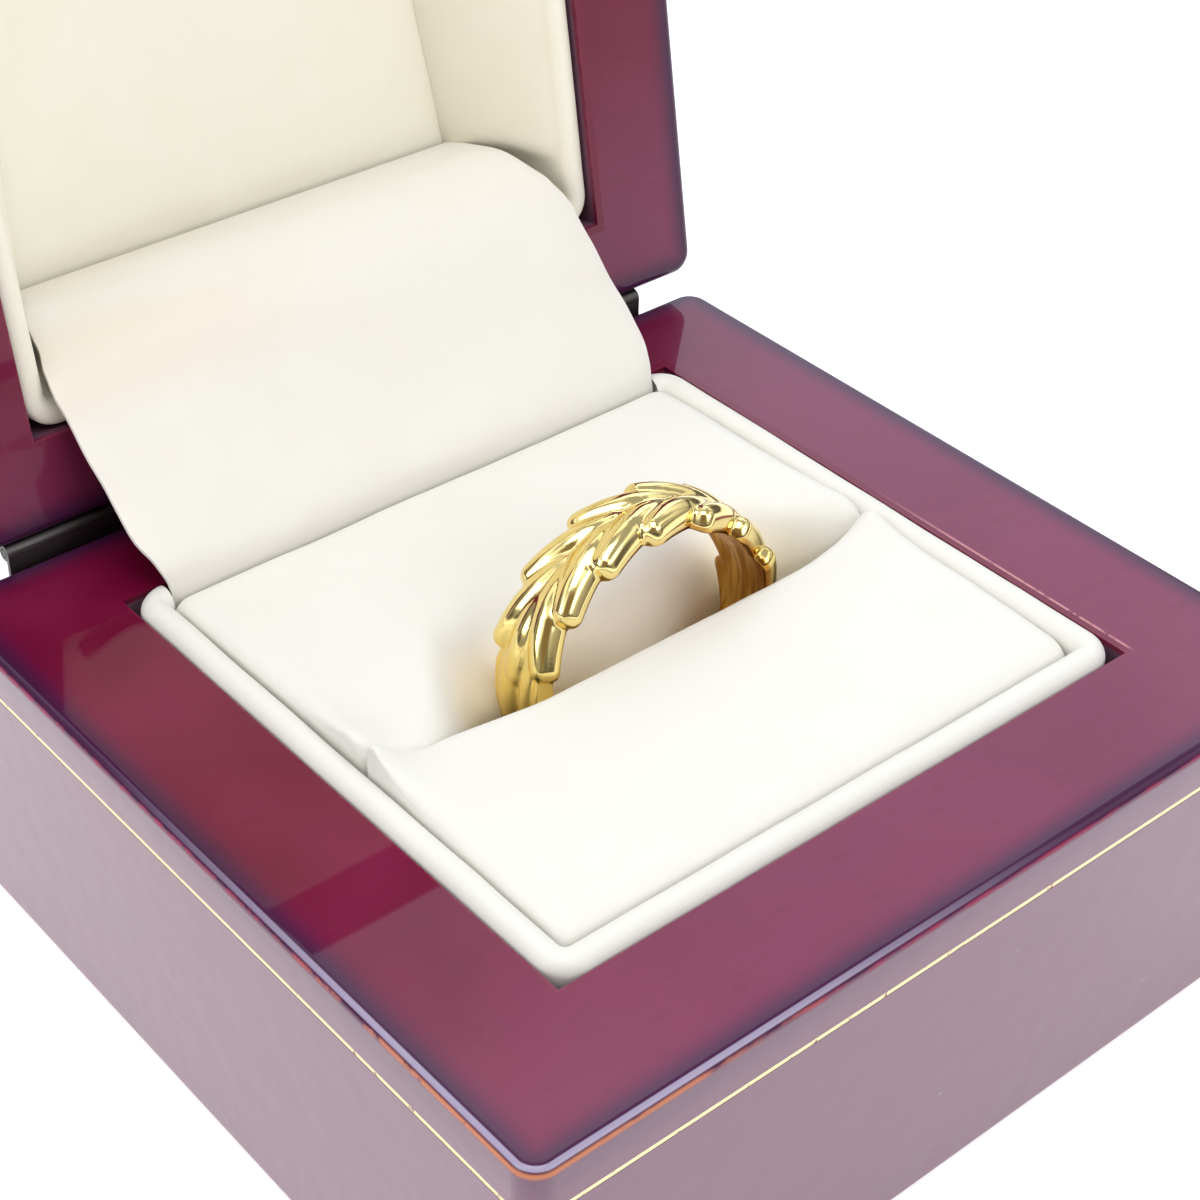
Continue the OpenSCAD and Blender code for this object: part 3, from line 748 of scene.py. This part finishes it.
# Lid: a hollowed block of the same lacquered wood, seen from its open side.
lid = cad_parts["lid_box"]
lid.data.materials.clear()
lid.data.materials.append(lacquer("lid_lacquer", BASE_H + 0.2, OPEN_ANGLE, 21.85, 22.2,
                              painted_side_sheen=0.5, gloss=1.3, lit=(0.12, 1, 9, 30, 0.95)))

# Lid lining: leatherette like the base's, but painted lighter, round a card tray, with a round
# lip like the base's and side walls that lean in to the padded panel.
LID_RIM = BASE_H + 0.2
LID_X, LID_BACK = 21.7, 22.05
LIP_DROP = 0.5
LID_LIP_W = 1.6
LEAN_IN = 2.7
PANEL_DROP = 9.4
PANEL_X = LID_X - LID_LIP_W - LEAN_IN
PANEL_FRONT = LINING_FRONT + LID_LIP_W + LEAN_IN
PANEL_BACK = HALF_D - 10.6
LID_HOLLOW = 12.5
# The walls bulge out beside the folded flap, more on the left, where the flap is wider
ROOM_LEFT, ROOM_RIGHT = 5.8, 3.6


def opened(points):
    """Turns points of the shut lid about the hinge pin, to where the lid stands open."""
    c, s = math.cos(-OPEN_ANGLE), math.sin(-OPEN_ANGLE)
    return [(x, PIN_Y + (y - PIN_Y) * c - (z - PIN_Z) * s,
             PIN_Z + (y - PIN_Y) * s + (z - PIN_Z) * c) for x, y, z in points]


def panel_narrow(y):
    """How much narrower the panel is on each side, more towards the lid's front."""
    return 0.7 + 2.8 * min(1, max(0, (PANEL_BACK - y) / 31.5))


def tray_loop(inset, radius, z, lean=0.0):
    """A loop round the lid's tray, inset from its outside. lean is 0 at the lip and 1 at
    the panel. The corners of a loop are joined by many points along the two side walls."""
    back = LID_BACK - inset - lean ** 1.5 * (LID_BACK - LID_LIP_W - PANEL_BACK)
    inset += LEAN_IN * lean
    corners = rounded_loop(-LID_X + inset, LINING_FRONT + inset, LID_X - inset, back, radius, z, 10)
    loop = []
    for (ax, ay, _), (bx, by, _) in zip(corners, corners[1:] + corners[:1]):
        steps = 60 if abs(by - ay) > 10 else 1
        loop += [(ax + (bx - ax) * i / steps, ay + (by - ay) * i / steps) for i in range(steps)]
    bent = []
    for px, py in loop:
        room = (ROOM_LEFT if px < 0 else ROOM_RIGHT) * (lean - lean ** 3)
        narrow = lean * panel_narrow(py) - room * ease((py - 16.5) / 1.3)
        bent.append((px - math.copysign(1, px) * narrow, py,
                     z + wobble((px, py, 3), 0.06, 0.2, 6)))
    return bent


lip_r = LID_LIP_W / 2
lip_level = LID_RIM + LIP_DROP + lip_r
tray = [tray_loop(0, LINING_R, LID_RIM + LID_HOLLOW - 0.1), tray_loop(0, LINING_R, lip_level + 1)]
tray += [tray_loop(lip_r - lip_r * math.cos(math.radians(a)),
                   LINING_R - (lip_r - lip_r * math.cos(math.radians(a))),
                   lip_level - lip_r * math.sin(math.radians(a)) ** (0.45 if a < 90 else 1))
         for a in range(0, 181, 12)]
WALL_H = LID_RIM + PANEL_DROP - lip_level
tray += [tray_loop(LID_LIP_W + 0.05, 0.35, lip_level + WALL_H * t, t)
         for t in (0.04, 0.2, 0.4, 0.5, 0.6, 0.7, 0.8, 0.9, 1)]
tray.append(tray_loop(LID_LIP_W, 0.35, LID_RIM + LID_HOLLOW - 0.1, 1))
# The lid's cream is a lighter, yellower copy of the base's; its extra lightness is painted light
# inside the open lid
lid_cream_painted_lighter = leatherette("lid_leatherette_painted_lighter", (0.91, 0.885, 0.76, 1), (0.87, 0.835, 0.69, 1))
points, faces = skin(tray, looped=True)
tray_piece = add_piece("lid_lining_cover", opened(points), faces, lid_cream_painted_lighter, sharp=50)
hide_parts("lid_lining")
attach(tray_piece, "lid")

# Lid panel: a padded card covered in the same cream leatherette, glued into the tray's
# floor. It is bare all over.
PANEL_T = 1.4
PANEL_STEPS = 60
rows = []
for i in range(PANEL_STEPS + 1):
    u = i / PANEL_STEPS
    row = []
    for j in range(PANEL_STEPS + 1):
        v = j / PANEL_STEPS
        y = PANEL_FRONT + (PANEL_BACK - PANEL_FRONT) * v
        x = (2 * u - 1) * (PANEL_X - panel_narrow(y))
        edge = min(u, 1 - u, v, 1 - v)
        puff = 0.25 * (1 - (1 - min(1, edge / 0.12)) ** 2) ** 0.5
        row.append((x, y, LID_RIM + PANEL_DROP + 0.3 - puff + wobble((x, y, 0), 0.1, 0.1, 7)))
    (x0, y0, _), (x1, y1, _) = row[0], row[-1]
    panel_top = LID_RIM + PANEL_DROP + PANEL_T
    rows.append([(x0, y0, panel_top)] + row + [(x1, y1, panel_top)])
points, faces = skin(rows)
panel = add_piece("lid_panel_cover", opened(points), faces, lid_cream_painted_lighter, sharp=50)
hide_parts("lid_panel")
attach(panel, "lid")

# Hinge: a long piano hinge of dark steel on the outside of the back, with its pin.
steel, place = new_material("dark_steel")
brushed = place.stretched(0.15, 3, 3).grain(2, 4)
finish_with(place, {
    "Base Color": brushed.mix((0.07, 0.065, 0.065, 1), (0.14, 0.13, 0.125, 1)),
    "Metallic": 1.0, "Roughness": 0.38 + brushed * 0.15,
    "Normal": place.node("Bump", None, {"Height": brushed, "Strength": 0.25, "Distance": 0.00008})})
for name in ("base_hinge", "hinge_pin", "lid_hinge"):
    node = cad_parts[name]
    node.data.materials.clear()
    node.data.materials.append(steel)
